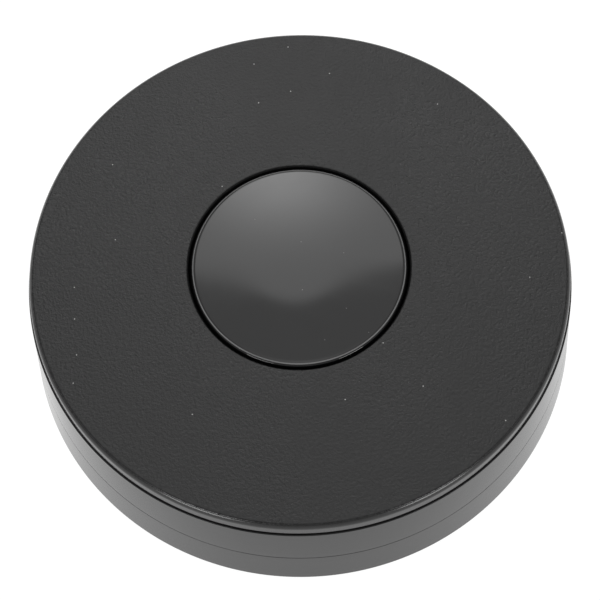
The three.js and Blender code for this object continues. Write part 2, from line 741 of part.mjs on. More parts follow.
function motorShaft() {
  const [bottom, top, chamfer] = [5.4, 23, 0.3];
  return turned([
    [0, bottom],
    [SHAFT_RADIUS - chamfer, bottom],
    [SHAFT_RADIUS, bottom + chamfer],
    [SHAFT_RADIUS, top - chamfer],
    [SHAFT_RADIUS - chamfer, top],
    [0, top],
  ], MEDIUM_ROUND);
}

/** A flat bar with round ends and a hole for the shaft. */
function drivenBar(length, width, bottom, top) {
  const bar = raised(roundedRectangle(length, width, width / 2), bottom, top, 6);
  return bar.subtract(rod(0, 0, SHAFT_RADIUS + SMALL_GAP, bottom - 1, top + 1, MEDIUM_ROUND));
}

const YOKE_TOP = 17.8;

function yokeStrip() {
  return drivenBar(38, 12, CAN_TOP + 0.3, YOKE_TOP);
}

function magnetCarrier() {
  const [bottom, top] = [YOKE_TOP + 0.2, 23.1];
  const pockets = [-MAGNET_OFFSET, MAGNET_OFFSET].map((x) => {
    return rod(x, 0, MAGNET_RADIUS + SMALL_GAP, bottom - 1, top + 1, MEDIUM_ROUND);
  });
  return cutAll(drivenBar(41, 15, bottom, top), pockets);
}

function stirringMagnet(x) {
  return rod(x, 0, MAGNET_RADIUS, YOKE_TOP + 0.2, 22.8, MEDIUM_ROUND);
}

// ---------------------------------------------------------------- assembly

function housing() {
  const group = new THREE.Group();
  place(group, "top_cover", topCover(), SATIN_BLACK());
  place(group, "top_seal", topSeal(), RUBBER());
  place(group, "body_ring", bodyRing(), WALL_BLACK());
  place(group, "base_shell", baseShell(), WALL_BLACK());
  place(group, "rating_plate", ratingPlate(), PLATE_SILVER());
  FOOT_ANGLES.forEach((angle, i) => place(group, `foot_${i + 1}`, foot(angle), RUBBER()));
  CASE_SCREW_ANGLES.forEach((angle, i) => {
    place(group, `case_screw_${i + 1}`, caseScrew(angle), DARK_STEEL());
  });
  return group;
}

function button() {
  const group = new THREE.Group();
  place(group, "button_cap", buttonCap(), GLOSS_BLACK());
  SPRING_ANGLES.forEach((angle, i) => {
    place(group, `button_spring_${i + 1}`, buttonSpring(angle), STEEL());
  });
  SWITCH_ANGLES.forEach((angle, i) => {
    place(group, `switch_body_${i + 1}`, switchBody(angle), SWITCH_GREY());
    place(group, `switch_plunger_${i + 1}`, switchPlunger(angle), CHIP_BLACK());
  });
  return group;
}

function electronics() {
  const group = new THREE.Group();
  place(group, "control_board", controlBoard(), BOARD_GREEN());
  place(group, "power_inlet", powerInlet(), NICKEL());
  place(group, "driver_chip", chip(34, 4, 5, 5, 1), CHIP_BLACK());
  place(group, "control_chip", chip(-30, -19, 7, 7, 1.4), CHIP_BLACK());
  place(group, "capacitor", capacitor(), PLATE_SILVER());
  place(group, "motor_connector", motorConnector(), CONNECTOR_WHITE());
  place(group, "motor_cable", motorCable(), CABLE_GREY());
  BOARD_SCREW_ANGLES.forEach((angle, i) => {
    place(group, `board_screw_${i + 1}`, boardScrew(angle), STEEL());
  });
  return group;
}

function drive() {
  const group = new THREE.Group();
  place(group, "motor_plate", motorPlate(), STEEL());
  MOTOR_SCREW_ANGLES.forEach((angle, i) => {
    place(group, `motor_screw_${i + 1}`, motorScrew(angle), STEEL());
  });
  place(group, "bearing_tube", bearingTube(), BRASS());
  place(group, "lower_bearing", bearing(LOWER_BEARING_BOTTOM), STEEL());
  place(group, "upper_bearing", bearing(UPPER_BEARING_BOTTOM), STEEL());
  place(group, "stator_core", statorCore(), DARK_STEEL());
  for (let i = 0; i < TOOTH_COUNT; i += 1) {
    place(group, `coil_${i + 1}`, coil(i), COPPER());
  }
  place(group, "rotor_can", rotorCan(), STEEL());
  place(group, "ring_magnet", ringMagnet(), DARK_STEEL());
  place(group, "motor_shaft", motorShaft(), STEEL());
  place(group, "yoke_strip", yokeStrip(), STEEL());
  place(group, "magnet_carrier", magnetCarrier(), CARRIER_BLACK());
  place(group, "stirring_magnet_1", stirringMagnet(-MAGNET_OFFSET), NICKEL());
  place(group, "stirring_magnet_2", stirringMagnet(MAGNET_OFFSET), NICKEL());
  return group;
}

const stirrer = new THREE.Group();
stirrer.add(housing(), button(), electronics(), drive());
export default stirrer;
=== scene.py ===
"""Looks of the magnetic stirrer: fine shells, button, seal, feet, screws and inlet around the CAD frame.

Lengths in the outlines are millimetres and become metres when a mesh is made.
"""
import json
import math

import bmesh
import bpy
from mathutils import Matrix, Vector


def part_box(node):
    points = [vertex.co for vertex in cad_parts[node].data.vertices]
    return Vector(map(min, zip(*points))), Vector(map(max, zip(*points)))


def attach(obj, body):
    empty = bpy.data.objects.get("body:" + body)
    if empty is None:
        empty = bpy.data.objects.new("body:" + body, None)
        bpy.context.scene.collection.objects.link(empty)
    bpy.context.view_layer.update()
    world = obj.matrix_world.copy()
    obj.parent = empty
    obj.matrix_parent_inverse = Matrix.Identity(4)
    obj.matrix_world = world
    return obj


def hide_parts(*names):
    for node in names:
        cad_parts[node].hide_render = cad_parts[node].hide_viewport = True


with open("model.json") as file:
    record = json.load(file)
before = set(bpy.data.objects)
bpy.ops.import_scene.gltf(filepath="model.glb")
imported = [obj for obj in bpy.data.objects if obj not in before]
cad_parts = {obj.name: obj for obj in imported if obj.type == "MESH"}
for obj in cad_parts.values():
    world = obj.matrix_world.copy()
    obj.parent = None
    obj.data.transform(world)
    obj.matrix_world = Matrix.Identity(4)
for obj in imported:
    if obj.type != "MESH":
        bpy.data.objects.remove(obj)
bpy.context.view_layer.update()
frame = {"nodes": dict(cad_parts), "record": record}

MM = 0.001
NODES = frame["nodes"]

# ------------------------------------------------------- sizes read from the frame, in millimetres

COVER_LOW, COVER_HIGH = (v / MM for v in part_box("top_cover"))
BASE_LOW, BASE_HIGH = (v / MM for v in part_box("base_shell"))
CAP_LOW, CAP_HIGH = (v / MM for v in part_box("button_cap"))
INLET_LOW, INLET_HIGH = (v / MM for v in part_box("power_inlet"))
PLATE_LOW, PLATE_HIGH = (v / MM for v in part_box("rating_plate"))

TOP = COVER_HIGH.z
UNDERSIDE = BASE_LOW.z
BASE_RADIUS = BASE_HIGH.x
BOSS_BOTTOM = COVER_LOW.z
CAP_TOP = CAP_HIGH.z
FLANGE_RADIUS = CAP_HIGH.x
INLET_HEIGHT = (INLET_LOW.z + INLET_HIGH.z) / 2

# ------------------------------------------------------------------ other driving sizes, in millimetres

TOP_RADIUS = 57.6
PLATE_THICKNESS = 2.4
JOIN = 0.5  # how far a boss or post is sunk into the plate that carries it

# The wall's two breaks: an open groove under the cover, and a fine seam half-way down.
GROOVE_TOP = 26.6
GROOVE_BOTTOM = 26.1
LOWER_SEAM = 13.0
SEAM_GAP = 0.07

# The rim is a tight round (RIM_TIGHT) down to RIM_TURN degrees, then a soft one (RIM_SOFT) to RIM_END.
COVER_INSET = 0.3
RIM_TIGHT = 0.8
RIM_SOFT = 2.0
RIM_TURN = 46
RIM_END = 85
RING_ROUND = 0.2

# The hole in the cover, and the button in it.
HOLE_RADIUS = 23.5
HOLE_ROUND = 0.55
CAP_RADIUS = 23.15
CAP_ROUND = 1.3
EDGE_HIGHLIGHT_RADIUS = 22.5  # radius of the pale painted highlight line on the button's edge round
FLANGE_BOTTOM = 25.7
FLANGE_TOP = 27.3

# Locating lip and guide wall under the cover.
LIP_BOTTOM = 23.0
LIP_OUTER = 54.6
LIP_INNER = 52.8
GUIDE_BOTTOM = 23.2
GUIDE_OUTER = 31.2
GUIDE_INNER = 29.5
BODY_INNER = 55.3

SEAL_BOTTOM = 26.2
SEAL_TOP = 26.5
SEAL_INNER = 55.4
SEAL_OUTER = 56.1

# Screws: bosses under the cover, posts on the base, and the pilot holes in them.
CASE_BOSS_RADIUS = 3.4
CASE_PILOT_RADIUS = 1.4
CASE_PILOT_TOP = 21
CASE_POST_RADIUS = 4.2
CASE_HEAD_RADIUS = 2.7
CASE_HEAD_TOP = 5.9
CASE_SHANK_RADIUS = 1.25
THREAD_PITCH = 0.5
BOARD_BOSS_RADIUS = 2.6
BOARD_BOSS_BOTTOM = 19.3
MOTOR_POST_RADIUS = 3
MOTOR_POST_TOP = 4.7
SMALL_PILOT_RADIUS = 1.05
FOOT_RADIUS = 6
FOOT_WELL_RADIUS = 6.6
FOOT_WELL_TOP = 2.5

# ------------------------------------------------------------------ outlines and meshes

SEGMENTS = 256


def wall_radius(z):
    """Radius of the tapered outer wall at a height."""
    slope = (BASE_RADIUS - TOP_RADIUS) / (TOP - UNDERSIDE)
    return BASE_RADIUS - slope * (z - UNDERSIDE)


def arc(r, z, radius, start, end, steps):
    """Points of a round corner about (r, z), angles in degrees, both ends included."""
    points = []
    for i in range(steps + 1):
        angle = math.radians(start + (end - start) * i / steps)
        points.append((r + radius * math.cos(angle), z + radius * math.sin(angle)))
    return points


def new_object(name, mesh):
    piece = bpy.data.objects.new(name, mesh)
    bpy.context.scene.collection.objects.link(piece)
    return piece


def shade(mesh, sharp_degrees=32):
    mesh.shade_smooth()
    mesh.set_sharp_from_angle(angle=math.radians(sharp_degrees))


def turned(name, outline, segments=SEGMENTS, centre=(0, 0), closed=True):
    """A closed outline of (radius, height) turned about a vertical axis. Points on the axis become one."""
    bm = bmesh.new()
    rows = []
    for r, z in outline:
        if r < 1e-6:
            rows.append([bm.verts.new(Vector((centre[0], centre[1], z)) * MM)])
            continue
        row = []
        for i in range(segments):
            angle = 2 * math.pi * i / segments
            x = centre[0] + r * math.cos(angle)
            y = centre[1] + r * math.sin(angle)
            row.append(bm.verts.new(Vector((x, y, z)) * MM))
        rows.append(row)
    pairs = list(zip(rows, rows[1:]))
    if closed:
        pairs.append((rows[-1], rows[0]))
    for a, b in pairs:
        if len(a) == 1 and len(b) == 1:
            continue
        for i in range(segments):
            j = (i + 1) % segments
            corners = [a[i % len(a)], a[j % len(a)], b[j % len(b)], b[i % len(b)]]
            unique = list(dict.fromkeys(corners))
            bm.faces.new(unique)
    bmesh.ops.recalc_face_normals(bm, faces=bm.faces)
    mesh = bpy.data.meshes.new(name)
    bm.to_mesh(mesh)
    bm.free()
    return new_object(name, mesh)


def rounded_rectangle(width, height, radius, steps=8):
    """Corner points of a rectangle with round corners, anticlockwise about (0, 0)."""
    points = []
    for cx, cy, start in ((1, -1, -90), (1, 1, 0), (-1, 1, 90), (-1, -1, 180)):
        x = cx * (width / 2 - radius)
        y = cy * (height / 2 - radius)
        points += arc(x, y, radius, start, start + 90, steps)
    return points


def prism(name, outline, low, high, place):
    """A flat outline pushed from low to high. place(u, v, w) gives the point in millimetres."""
    bm = bmesh.new()
    bottom = [bm.verts.new(Vector(place(u, v, low)) * MM) for u, v in outline]
    top = [bm.verts.new(Vector(place(u, v, high)) * MM) for u, v in outline]
    bm.faces.new(bottom)
    bm.faces.new(top)
    for i in range(len(outline)):
        j = (i + 1) % len(outline)
        bm.faces.new((bottom[i], bottom[j], top[j], top[i]))
    bmesh.ops.remove_doubles(bm, verts=bm.verts, dist=1e-7)
    bmesh.ops.recalc_face_normals(bm, faces=bm.faces)
    mesh = bpy.data.meshes.new(name)
    bm.to_mesh(mesh)
    bm.free()
    return new_object(name, mesh)


def upright(u, v, w):
    return (u, v, w)


def facing_rear(z):
    """Places an outline in a plane that faces +Y, with its middle at height z."""
    return lambda u, v, w: (u, w, z + v)


def settle(piece):
    """Applies the modifiers of a piece."""
    graph = bpy.context.evaluated_depsgraph_get()
    mesh = bpy.data.meshes.new_from_object(piece.evaluated_get(graph))
    piece.modifiers.clear()
    piece.data = mesh
    return piece


def combine(piece, tools, operation):
    """Cuts the tools out of the piece, or joins them to it, and removes them."""
    for tool in tools:
        step = piece.modifiers.new(operation, "BOOLEAN")
        step.operation = operation
        step.solver = "EXACT"
        step.object = tool
        settle(piece)
        bpy.data.objects.remove(tool)
    return piece


def soften_edges(piece, width, degrees=40, segments=3):
    """Rounds the sharp edges a little, as moulding and handling leave them."""
    step = piece.modifiers.new("edges", "BEVEL")
    step.width = width * MM
    step.segments = segments
    step.limit_method = "ANGLE"
    step.angle_limit = math.radians(degrees)
    step.harden_normals = False
    return settle(piece)


def middle(node):
    low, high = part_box(node)
    return (low + high) / 2 / MM


def post(centre, radius, low, high, segments=48):
    outline = [(0, low), (radius, low), (radius, high), (0, high)]
    return turned("tool", outline, segments, centre, closed=False)


# ------------------------------------------------------------------ materials


class Wiring:
    """Makes and links shader nodes in one tree."""

    def __init__(self, tree):
        self.tree = tree
        self.coords = tree.nodes.new("ShaderNodeTexCoord")

    def node(self, kind, **values):
        made = self.tree.nodes.new(kind)
        for key, value in values.items():
            setattr(made, key, value)
        return made

    def link(self, source, target):
        self.tree.links.new(source, target)

    def maths(self, operation, a, b=0.0, clamp=False):
        made = self.node("ShaderNodeMath", operation=operation, use_clamp=clamp)
        for socket, value in zip(made.inputs, (a, b)):
            if isinstance(value, (int, float)):
                socket.default_value = value
            else:
                self.link(value, socket)
        return made.outputs[0]

    def span(self, value, low, high, to_low, to_high, soft=False):
        """Maps a value from one span to another, and holds it there."""
        kind = "SMOOTHSTEP" if soft else "LINEAR"
        made = self.node("ShaderNodeMapRange", interpolation_type=kind)
        made.inputs["From Min"].default_value = low
        made.inputs["From Max"].default_value = high
        made.inputs["To Min"].default_value = to_low
        made.inputs["To Max"].default_value = to_high
        self.link(value, made.inputs["Value"])
        return made.outputs["Result"]

    def bell(self, value, centre, width):
        """1 at the centre, falling off on both sides like a bell."""
        away = self.maths("DIVIDE", self.maths("SUBTRACT", value, centre), width)
        return self.maths("EXPONENT", self.maths("MULTIPLY", self.maths("MULTIPLY", away, away), -1))


class Paint(Wiring):
    """Builds one procedural material on object coordinates, which are metres in the row frame."""

    def __init__(self, name, color, roughness, metallic=0.0, ior=1.5):
        self.material = bpy.data.materials.new(name)
        self.material.use_nodes = True
        super().__init__(self.material.node_tree)
        self.shader = self.tree.nodes["Principled BSDF"]
        self.color = color
        self.shader.inputs["Base Color"].default_value = (*color, 1)
        self.shader.inputs["Roughness"].default_value = roughness
        self.shader.inputs["Metallic"].default_value = metallic
        self.shader.inputs["IOR"].default_value = ior
        self.normal = None

    def place(self, scale=(1, 1, 1), rotation=(0, 0, 0)):
        """Object coordinates, stretched or turned."""
        mapping = self.node("ShaderNodeMapping")
        mapping.inputs["Scale"].default_value = scale
        mapping.inputs["Rotation"].default_value = rotation
        self.link(self.coords.outputs["Object"], mapping.inputs["Vector"])
        return mapping.outputs["Vector"]

    def noise(self, grains_per_metre, detail=2.0, rough=0.5, scale=(1, 1, 1), distortion=0.0):
        made = self.node("ShaderNodeTexNoise")
        made.inputs["Scale"].default_value = grains_per_metre
        made.inputs["Detail"].default_value = detail
        made.inputs["Roughness"].default_value = rough
        made.inputs["Distortion"].default_value = distortion
        self.link(self.place(scale), made.inputs["Vector"])
        return made.outputs["Fac"]

    def cells(self, cells_per_metre, output="Distance", feature="F1", flat=False):
        """Cell pattern. A flat one is the same all the way up, so it marks a level face with round spots."""
        dimensions = "2D" if flat else "3D"
        made = self.node("ShaderNodeTexVoronoi", feature=feature, voronoi_dimensions=dimensions)
        made.inputs["Scale"].default_value = cells_per_metre
        self.link(self.place(), made.inputs["Vector"])
        return made.outputs[output]

    def mix(self, factor, a, b):
        made = self.node("ShaderNodeMix", data_type="RGBA")
        self.link(factor, made.inputs["Factor"])
        for socket, value in ((made.inputs[6], a), (made.inputs[7], b)):
            if isinstance(value, tuple):
                socket.default_value = (*value, 1)
            else:
                self.link(value, socket)
        return made.outputs[2]

    def shades(self, value, low_share, high_share):
        """The base colour, made darker or lighter by a value from 0 to 1."""
        low = tuple(c * low_share for c in self.color)
        high = tuple(c * high_share for c in self.color)
        return self.mix(value, low, high)

    def bump(self, height, depth_mm, strength=1.0):
        made = self.node("ShaderNodeBump")
        made.inputs["Strength"].default_value = strength
        made.inputs["Distance"].default_value = depth_mm * MM
        self.link(height, made.inputs["Height"])
        if self.normal is not None:
            self.link(self.normal, made.inputs["Normal"])
        self.normal = made.outputs["Normal"]
        self.link(self.normal, self.shader.inputs["Normal"])

    def specks(self, cells_per_metre, kept_share, radius_in_cells, flat=False):
        """A mask of small round dust specks: 1 on a speck, 0 elsewhere. Flat ones lie on the level top."""
        near = self.cells(cells_per_metre, flat=flat)
        chance = self.node("ShaderNodeSeparateColor")
        self.link(self.cells(cells_per_metre, "Color", flat=flat), chance.inputs[0])
        inside = self.span(near, radius_in_cells * 0.6, radius_in_cells, 1, 0)
        kept = self.maths("LESS_THAN", chance.outputs[0], kept_share)
        mask = self.maths("MULTIPLY", inside, kept)
        if not flat:
            return mask
        height = self.node("ShaderNodeSeparateXYZ")
        self.link(self.coords.outputs["Object"], height.inputs[0])
        on_top = self.maths("GREATER_THAN", height.outputs["Z"], (TOP - 0.05) * MM)
        return self.maths("MULTIPLY", mask, on_top)

    def ring(self, radius, half_width):
        """A mask of a thin ring about the middle, in millimetres, on surfaces near the top."""
        parts = self.node("ShaderNodeSeparateXYZ")
        self.link(self.coords.outputs["Object"], parts.inputs[0])
        x, y, z = (parts.outputs[axis] for axis in "XYZ")
        square = self.maths("ADD", self.maths("MULTIPLY", x, x), self.maths("MULTIPLY", y, y))
        distance = self.maths("SQRT", square)
        away = self.maths("ABSOLUTE", self.maths("SUBTRACT", distance, radius * MM))
        inside = self.span(away, half_width * 0.6 * MM, half_width * MM, 1, 0)
        return self.maths("MULTIPLY", inside, self.maths("GREATER_THAN", z, (TOP - 1) * MM))

    def set(self, socket, value):
        self.link(value, self.shader.inputs[socket])


def satin_cover():
    """Moulded black plastic with a fine spark-eroded grain, a little dust and rubbed areas."""
    paint = Paint("satin_cover", (0.01, 0.01, 0.0102), 0.28, ior=1.4)
    grain = paint.noise(1500, 3, 0.65)
    rubbed = paint.noise(26, 4, 0.6)
    dust = paint.specks(125, 0.16, 0.017, flat=True)
    tone = paint.shades(paint.span(grain, 0.3, 0.7, 0, 1), 0.8, 1.2)
    paint.set("Base Color", paint.mix(dust, tone, (0.6, 0.6, 0.59)))
    smooth = paint.span(rubbed, 0.35, 0.65, 0.27, 0.33)
    textured = paint.maths("ADD", smooth, paint.span(grain, 0.3, 0.7, -0.04, 0.06))
    height = paint.node("ShaderNodeSeparateXYZ")
    paint.link(paint.coords.outputs["Object"], height.inputs[0])
    level = paint.span(height.outputs["Z"], (TOP - 0.15) * MM, (TOP - 0.02) * MM, 0, 1)
    above_rim = paint.maths("SUBTRACT", textured, 0.2)
    paint.set("Roughness", paint.maths("ADD", 0.2, paint.maths("MULTIPLY", above_rim, level)))
    paint.bump(paint.maths("MULTIPLY", grain, level), 0.2, 0.8)
    return paint.material


def smooth_wall():
    """The same black plastic on the side, from a smoother mould, with faint upright draw lines."""
    paint = Paint("smooth_wall", (0.008, 0.008, 0.0082), 0.14, ior=1.28)
    grain = paint.noise(1100, 2, 0.5)
    draw = paint.noise(420, 2, 0.5, (1, 1, 0.03))
    rubbed = paint.noise(22, 3, 0.6)
    dust = paint.specks(400, 0.1, 0.05)
    tone = paint.shades(rubbed, 0.9, 1.12)
    paint.set("Base Color", paint.mix(dust, tone, (0.3, 0.3, 0.29)))
    paint.set("Roughness", paint.span(rubbed, 0.3, 0.7, 0.12, 0.17))
    paint.bump(grain, 0.02, 0.3)
    paint.bump(draw, 0.02, 0.25)
    return paint.material


def gloss_button():
    """Polished black plastic: nearly a mirror, with handling marks, hairlines, a few dust specks and a pale
    painted highlight line on the edge round.
    """
    paint = Paint("gloss_button", (0.004, 0.004, 0.0042), 0.05)
    smudge = paint.noise(45, 4, 0.6, distortion=0.6)
    ripple = paint.noise(55, 1, 0.4)
    hairline = paint.noise(260, 2, 0.5, (1, 0.04, 1))
    dust = paint.specks(220, 0.16, 0.016, flat=True)
    # The pale thin ring on the edge round is painted highlight: base colour standing in for the round's
    # reflection of the bright room.
    tone = paint.mix(paint.ring(EDGE_HIGHLIGHT_RADIUS, 0.15), paint.shades(smudge, 0.9, 1.1), (0.16, 0.16, 0.16))
    paint.set("Base Color", paint.mix(dust, tone, (0.35, 0.35, 0.34)))
    worn = paint.span(smudge, 0.4, 0.7, 0.04, 0.085)
    paint.set("Roughness", paint.maths("ADD", worn, paint.maths("MULTIPLY", dust, 0.5)))
    paint.bump(ripple, 0.02, 0.15)
    paint.bump(hairline, 0.002, 0.1)
    return paint.material


def rubber(name, tone, roughness):
    """Matt black rubber with a fine even tooth and a little dust."""
    paint = Paint(name, tone, roughness, ior=1.45)
    tooth = paint.noise(1800, 2, 0.6)
    dusty = paint.noise(90, 4, 0.6)
    paint.set("Base Color", paint.shades(dusty, 0.8, 1.7))
    paint.set("Roughness", paint.span(dusty, 0.3, 0.7, roughness - 0.06, roughness + 0.06))
    paint.bump(tooth, 0.04, 0.6)
    return paint.material


def moulded(name, tone, roughness, variation=0.12):
    """Small moulded plastic part: a slight flow pattern and a fine skin."""
    paint = Paint(name, tone, roughness)
    flow = paint.noise(160, 3, 0.5, (1, 1, 0.4))
    skin = paint.noise(2600, 2, 0.5)
    paint.set("Base Color", paint.shades(flow, 1 - variation, 1 + variation))
    paint.set("Roughness", paint.span(flow, 0.3, 0.7, roughness - 0.05, roughness + 0.05))
    paint.bump(skin, 0.01, 0.4)
    return paint.material


def machined(name, tone, roughness, grain=(1, 1, 12), lines=900):
    """Metal with fine tool or rolling lines, and patches that are a little duller."""
    paint = Paint(name, tone, roughness, metallic=1.0)
    brushed = paint.noise(lines, 3, 0.6, grain)
    patches = paint.noise(70, 3, 0.6)
    paint.set("Base Color", paint.shades(patches, 0.85, 1.1))
    rough = paint.span(brushed, 0.3, 0.7, roughness - 0.08, roughness + 0.08)
    paint.set("Roughness", paint.maths("ADD", rough, paint.span(patches, 0.3, 0.7, -0.03, 0.05)))
    paint.bump(brushed, 0.01, 0.35)
    return paint.material


def wound_wire():
    """Enamelled copper wire laid side by side."""
    paint = Paint("wound_wire", (0.42, 0.13, 0.04), 0.3, metallic=1.0)
    turns = paint.node("ShaderNodeTexWave", wave_type="BANDS", bands_direction="Z")
    turns.inputs["Scale"].default_value = 900
    turns.inputs["Distortion"].default_value = 0.4
    paint.link(paint.place(), turns.inputs["Vector"])
    varnish = paint.noise(300, 2, 0.5)
    paint.set("Base Color", paint.shades(turns.outputs["Fac"], 0.5, 1.2))
    paint.set("Roughness", paint.span(varnish, 0.3, 0.7, 0.22, 0.4))
    paint.bump(turns.outputs["Fac"], 0.1, 0.8)
    return paint.material


def circuit_laminate():
    """Green solder mask over a faint net of tracks."""
    paint = Paint("circuit_laminate", (0.012, 0.09, 0.04), 0.35)
    net = paint.cells(220, feature="DISTANCE_TO_EDGE")
    track = paint.span(net, 0.03, 0.06, 1, 0)
    weave = paint.noise(1200, 2, 0.5)
    paint.set("Base Color", paint.mix(track, paint.shades(weave, 0.85, 1.15), (0.03, 0.17, 0.07)))
    paint.set("Roughness", paint.span(weave, 0.3, 0.7, 0.3, 0.42))
    paint.bump(track, 0.03, 0.5)
    return paint.material


MATERIALS = {
    "cover_plastic": satin_cover(),
    "wall_plastic": smooth_wall(),
    "button_gloss": gloss_button(),
    "seal_rubber": rubber("seal_rubber", (0.004, 0.004, 0.004), 0.85),
    "foot_rubber": rubber("foot_rubber", (0.016, 0.016, 0.016), 0.8),
    "plate_metal": machined("plate_metal", (0.42, 0.42, 0.43), 0.4, (1, 14, 1)),
    "plated_metal": machined("plated_metal", (0.66, 0.63, 0.57), 0.2),
    "steel": machined("steel", (0.5, 0.51, 0.52), 0.35),
    "dark_steel": machined("dark_steel", (0.05, 0.05, 0.055), 0.42),
    "brass": machined("brass", (0.62, 0.44, 0.16), 0.3),
    "copper_wire": wound_wire(),
    "board_laminate": circuit_laminate(),
    "chip_resin": moulded("chip_resin", (0.016, 0.016, 0.017), 0.55),
    "switch_plastic": moulded("switch_plastic", (0.09, 0.09, 0.1), 0.45),
    "connector_plastic": moulded("connector_plastic", (0.72, 0.69, 0.6), 0.45, 0.05),
    "cable_plastic": moulded("cable_plastic", (0.3, 0.31, 0.33), 0.4),
    "carrier_plastic": moulded("carrier_plastic", (0.03, 0.03, 0.033), 0.5),
}


def finish(piece, body, slot, *nodes):
    """Gives a piece smooth shading, its material and the body it moves with, and hides the CAD nodes it
    stands for.
    """
    shade(piece.data)
    normals = piece.modifiers.new("normals", "WEIGHTED_NORMAL")
    normals.keep_sharp = True
    normals.weight = 50
    piece.data.materials.clear()
    piece.data.materials.append(MATERIALS[slot])
    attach(piece, body)
    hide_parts(*nodes)
    return piece


# ------------------------------------------------------------------ housing

CASE_SCREWS = [f"case_screw_{i}" for i in (1, 2, 3, 4)]
BOARD_SCREWS = [f"board_screw_{i}" for i in (1, 2, 3)]
MOTOR_SCREWS = [f"motor_screw_{i}" for i in (1, 2, 3)]
FEET = [f"foot_{i}" for i in (1, 2, 3, 4)]


def rim_outline():
    """The cover's rim: a tight round at the top edge that runs into a softer one down the side."""
    turn, end = math.radians(RIM_TURN), math.radians(RIM_END)
    soft_top = TOP - RIM_TIGHT * (1 - math.cos(turn))
    side_top = soft_top - RIM_SOFT * (math.cos(turn) - math.cos(end))
    side = wall_radius(side_top) - COVER_INSET
    soft_centre = (side - RIM_SOFT * math.sin(end), side_top - RIM_SOFT * math.cos(end))
    tight_centre = (soft_centre[0] + (RIM_SOFT - RIM_TIGHT) * math.sin(turn), TOP - RIM_TIGHT)
    points = arc(*tight_centre, RIM_TIGHT, 90, 90 - RIM_TURN, 10)
    return points + arc(*soft_centre, RIM_SOFT, 90 - RIM_TURN, 90 - RIM_END, 10)[1:]


def cover_outline():
    """Hole edge, flat top, rounded rim, skirt, locating lip and the button's guide wall."""
    under = TOP - PLATE_THICKNESS
    edge = 0.15
    chamfer = 0.3
    shoulder = 55.6
    outline = [(HOLE_RADIUS, under)]
    outline += arc(HOLE_RADIUS + HOLE_ROUND, TOP - HOLE_ROUND, HOLE_ROUND, 180, 90, 8)
    outline += [(30, TOP), (38, TOP), (46, TOP), (52, TOP)]
    outline += rim_outline()
    outline += arc(wall_radius(GROOVE_TOP) - COVER_INSET - edge, GROOVE_TOP + edge, edge, 0, -90, 4)
    outline += [(shoulder, GROOVE_TOP), (shoulder, under), (LIP_OUTER, under)]
    outline += [(LIP_OUTER, LIP_BOTTOM + chamfer), (LIP_OUTER - chamfer, LIP_BOTTOM)]
    outline += [(LIP_INNER + chamfer, LIP_BOTTOM), (LIP_INNER, LIP_BOTTOM + chamfer), (LIP_INNER, under)]
    outline += [(GUIDE_OUTER, under), (GUIDE_OUTER, GUIDE_BOTTOM)]
    outline += [(GUIDE_INNER, GUIDE_BOTTOM), (GUIDE_INNER, under)]
    return outline


def make_cover():
    cover = turned("cover", cover_outline())
    under = TOP - PLATE_THICKNESS
    bosses, holes = [], []
    for name in CASE_SCREWS:
        x, y, _ = middle(name)
        bosses.append(post((x, y), CASE_BOSS_RADIUS, BOSS_BOTTOM, under + JOIN))
        holes.append(post((x, y), CASE_PILOT_RADIUS, BOSS_BOTTOM - 1, CASE_PILOT_TOP))
    for name in BOARD_SCREWS:
        x, y, _ = middle(name)
        bosses.append(post((x, y), BOARD_BOSS_RADIUS, BOARD_BOSS_BOTTOM, under + JOIN))
        holes.append(post((x, y), SMALL_PILOT_RADIUS, 18, 25))
    combine(cover, bosses, "UNION")
    combine(cover, holes, "DIFFERENCE")
    return finish(cover, "housing", "cover_plastic", "top_cover")


def make_seal():
    bulge = (SEAL_TOP - SEAL_BOTTOM) / 2
    outline = [(SEAL_INNER, SEAL_BOTTOM)]
    outline += arc(SEAL_OUTER - bulge, SEAL_BOTTOM + bulge, bulge, -90, 90, 6)
    outline += [(SEAL_INNER, SEAL_TOP)]
    return finish(turned("seal", outline), "housing", "seal_rubber", "top_seal")


def make_body():
    low, high = LOWER_SEAM + SEAM_GAP, GROOVE_BOTTOM
    edge = 0.12
    outline = [(BODY_INNER, low)]
    outline += arc(wall_radius(low + edge) - edge, low + edge, edge, -90, 0, 5)
    outline += [(wall_radius(z), z) for z in (16, 19, 22)]
    round_z = high - RING_ROUND
    outline += arc(wall_radius(round_z) - RING_ROUND, round_z, RING_ROUND, 0, 90, 6)
    outline += [(BODY_INNER, high)]
    body = turned("body_wall", outline)
    at = facing_rear(INLET_HEIGHT)
    inside, outside = 53, 61
    slot = prism("tool", rounded_rectangle(9.6, 3.9, 1.9), inside, outside, at)
    recess_floor = wall_radius(INLET_HEIGHT) - 1
    recess = prism("tool", rounded_rectangle(13, 7, 2.4), recess_floor, outside, at)
    combine(body, [slot, recess], "DIFFERENCE")
    return finish(body, "housing", "wall_plastic", "body_ring")


def base_outline():
    """Flat floor, rounded foot of the wall, the wall up to the seam, and the lip that enters the body."""
    edge = 0.4
    seam_edge = 0.12
    floor_top = UNDERSIDE + PLATE_THICKNESS
    lip_top = BASE_HIGH.z
    outline = [(0, UNDERSIDE), (20, UNDERSIDE), (40, UNDERSIDE), (52, UNDERSIDE)]
    outline += arc(BASE_RADIUS - edge, UNDERSIDE + edge, edge, -90, 0, 8)
    outline += [(wall_radius(z), z) for z in (5, 9)]
    seam_z = LOWER_SEAM - seam_edge
    outline += arc(wall_radius(seam_z) - seam_edge, seam_z, seam_edge, 0, 90, 5)
    outline += [(55, LOWER_SEAM), (55, lip_top), (53.4, lip_top), (53.4, LOWER_SEAM - 1.5)]
    outline += [(56, LOWER_SEAM - 4), (56, floor_top), (0, floor_top)]
    return outline


